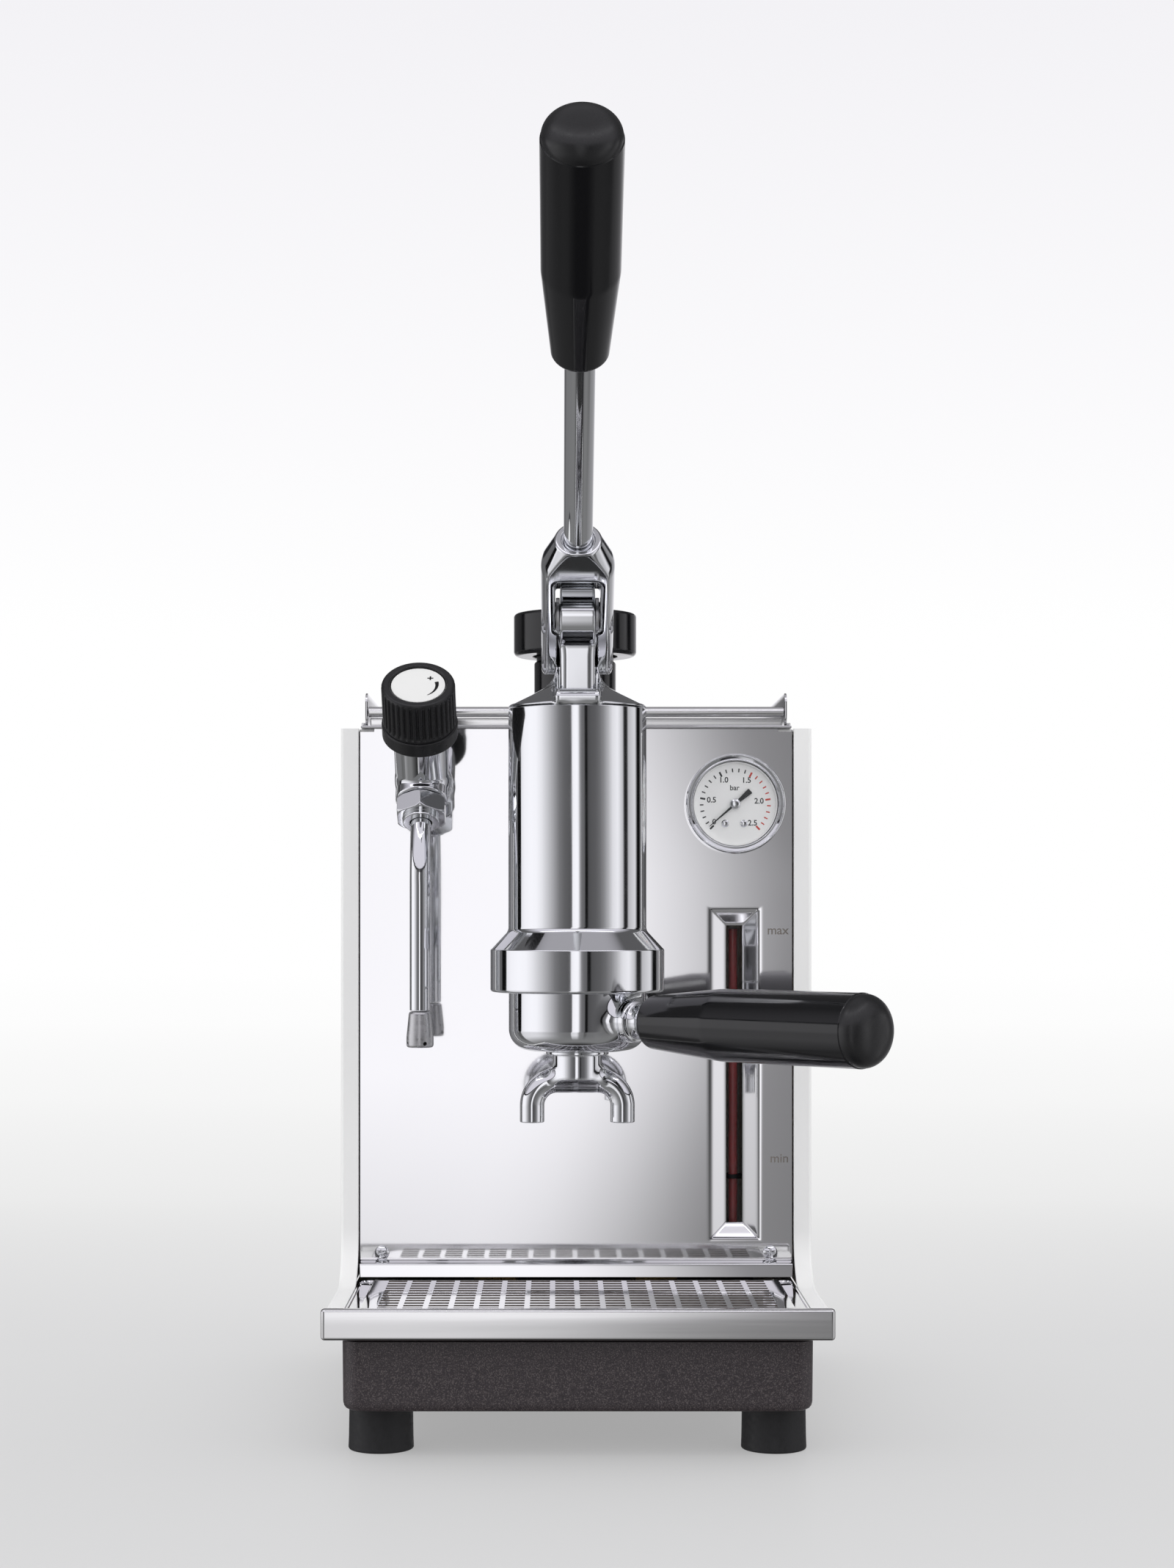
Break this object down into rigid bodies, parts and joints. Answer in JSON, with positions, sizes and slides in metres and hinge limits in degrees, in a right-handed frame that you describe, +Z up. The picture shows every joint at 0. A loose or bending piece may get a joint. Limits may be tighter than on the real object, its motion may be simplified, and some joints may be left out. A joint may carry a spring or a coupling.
{
  "type": "lever espresso machine",
  "caption": "Manual lever espresso machine: white body, mirror front with gauge and sight glass, chrome piston group with forked lever, filter holder, steam wand, drip tray.",
  "frame": {"origin": "the middle of the whole outline seen from above, at the height of the surface that the feet stand on", "axes": "+X to the right as seen from the front, +Y to the back, +Z up"},
  "size_m": [0.2138, 0.4476, 0.4781],
  "materials": {
    "chrome": "polished chrome plate",
    "polished_steel": "mirror-polished stainless sheet",
    "satin_steel": "satin stainless steel",
    "brass": "plain brass",
    "white_paint": "satin white powder coat",
    "tub_paint": "dark speckled textured paint",
    "gloss_black": "glossy black bakelite",
    "matt_black": "matt black plastic",
    "rubber": "black rubber",
    "glass": "clear glass",
    "red_liquid": "dark red water column",
    "dial": "white dial with plain numbers"
  },
  "bodies": {
    "machine": {"base_tub": "tub_paint", "foot_front_left": "rubber", "foot_front_right": "rubber", "foot_rear_left": "rubber", "foot_rear_right": "rubber", "side_panel_left": "white_paint", "side_panel_right": "white_paint", "rear_panel": "white_paint", "cup_tray": "satin_steel", "cup_rail_left": "satin_steel", "cup_rail_right": "satin_steel", "cup_rail_rod": "satin_steel", "front_panel": "polished_steel", "panel_screw_left": "satin_steel", "panel_screw_right": "satin_steel", "boiler": "brass", "boiler_lid": "brass", "heating_element": "brass", "filler_neck": "gloss_black", "safety_valve": "brass", "pressure_switch": "matt_black", "gauge_case": "chrome", "gauge_dial": "dial", "gauge_glass": "glass", "sight_tube": "glass", "sight_column": "red_liquid", "sight_union_top": "brass", "sight_union_bottom": "brass", "sight_ring": "rubber", "steam_valve_body": "chrome", "wand_nut": "chrome", "group_head": "chrome", "group_cap": "chrome", "group_gasket": "rubber", "shower_screen": "satin_steel", "power_inlet": "matt_black"},
    "lever": {"lever_fork": "chrome", "lever_rod": "chrome", "lever_grip": "gloss_black", "rod_pin": "satin_steel", "fulcrum_pin": "satin_steel"},
    "connecting_rod": {"con_rod": "chrome"},
    "piston_slide": {"piston": "brass", "piston_seal_upper": "rubber", "piston_seal_lower": "rubber"},
    "valve_stem": {"steam_stem": "satin_steel"},
    "valve_knob": {"steam_knob": "matt_black", "steam_knob_disc": "satin_steel"},
    "wand": {"steam_wand": "chrome", "wand_tip": "satin_steel"},
    "needle": {"gauge_needle": "matt_black"},
    "seal": {"filler_seal": "rubber"},
    "cap": {"filler_cap": "gloss_black"},
    "tray": {"drip_tray": "polished_steel"},
    "grate": {"drip_grate": "polished_steel"},
    "filter_holder": {"portafilter_body": "chrome", "filter_basket": "satin_steel", "portafilter_spout": "chrome", "portafilter_handle": "gloss_black"},
    "switch": {"power_switch": "matt_black"}
  },
  "joints": [
    {"name": "lever_pull", "type": "hinge", "parent": "machine", "child": "lever", "pos_m": [-0.00685, 0.00333, 0.319], "axis": [1, 0, 0], "range_deg": [-30, 40]},
    {"name": "rod_pivot", "type": "hinge", "parent": "lever", "child": "connecting_rod", "pos_m": [-0.00685, -0.01657, 0.33242], "axis": [1, 0, 0], "range_deg": [-36, 27]},
    {"name": "piston_travel", "type": "slide", "parent": "machine", "child": "piston_slide", "axis": [0, 0, 1], "range_m": [-0.0125, 0.0095]},
    {"name": "stem_travel", "type": "slide", "parent": "machine", "child": "valve_stem", "axis": [0, -0.682, 0.7314], "range_m": [0, 0.0021]},
    {"name": "steam_turn", "type": "hinge", "parent": "valve_stem", "child": "valve_knob", "pos_m": [-0.07085, 0.02233, 0.269], "axis": [0, -0.682, 0.7314], "range_deg": [0, 360]},
    {"name": "wand_swivel", "type": "hinge", "parent": "machine", "child": "wand", "pos_m": [-0.07085, 0.01683, 0.25947], "axis": [0, -0.5, -0.866], "range_deg": [-40, 40]},
    {"name": "needle_turn", "type": "hinge", "parent": "machine", "child": "needle", "pos_m": [0.06075, 0.05033, 0.26], "axis": [0, 1, 0], "range_deg": [0, 262], "stiffness_Nm_per_rad": 0.0001, "springref_deg": -17.19},
    {"name": "cap_lift", "type": "slide", "parent": "machine", "child": "seal", "axis": [0, 0, 1], "range_m": [0, 0.004]},
    {"name": "cap_turn", "type": "hinge", "parent": "seal", "child": "cap", "pos_m": [-0.00685, 0.12033, 0.341], "axis": [0, 0, 1], "range_deg": [0, 360]},
    {"name": "tray_pull", "type": "slide", "parent": "machine", "child": "tray", "axis": [0, -1, 0], "range_m": [0, 0.11]},
    {"name": "grate_lift", "type": "slide", "parent": "tray", "child": "grate", "axis": [0, 0, 1], "range_m": [0, 0.03]},
    {"name": "holder_lock", "type": "hinge", "parent": "machine", "child": "filter_holder", "pos_m": [-0.00685, -0.00967, 0.184], "axis": [0, 0, 1], "range_deg": [-60, 0]},
    {"name": "switch_rock", "type": "hinge", "parent": "machine", "child": "switch", "pos_m": [-0.06185, 0.22153, 0.1002], "axis": [1, 0, 0], "range_deg": [-20, 0]}
  ],
  "couplings": [
    {"joint": "rod_pivot", "follows": "lever_pull", "ratio": -0.85},
    {"joint": "piston_travel", "follows": "lever_pull", "m_per_rad": -0.017},
    {"joint": "steam_turn", "follows": "stem_travel", "rad_per_m": 2857},
    {"joint": "cap_turn", "follows": "cap_lift", "rad_per_m": 1562.5}
  ]
}
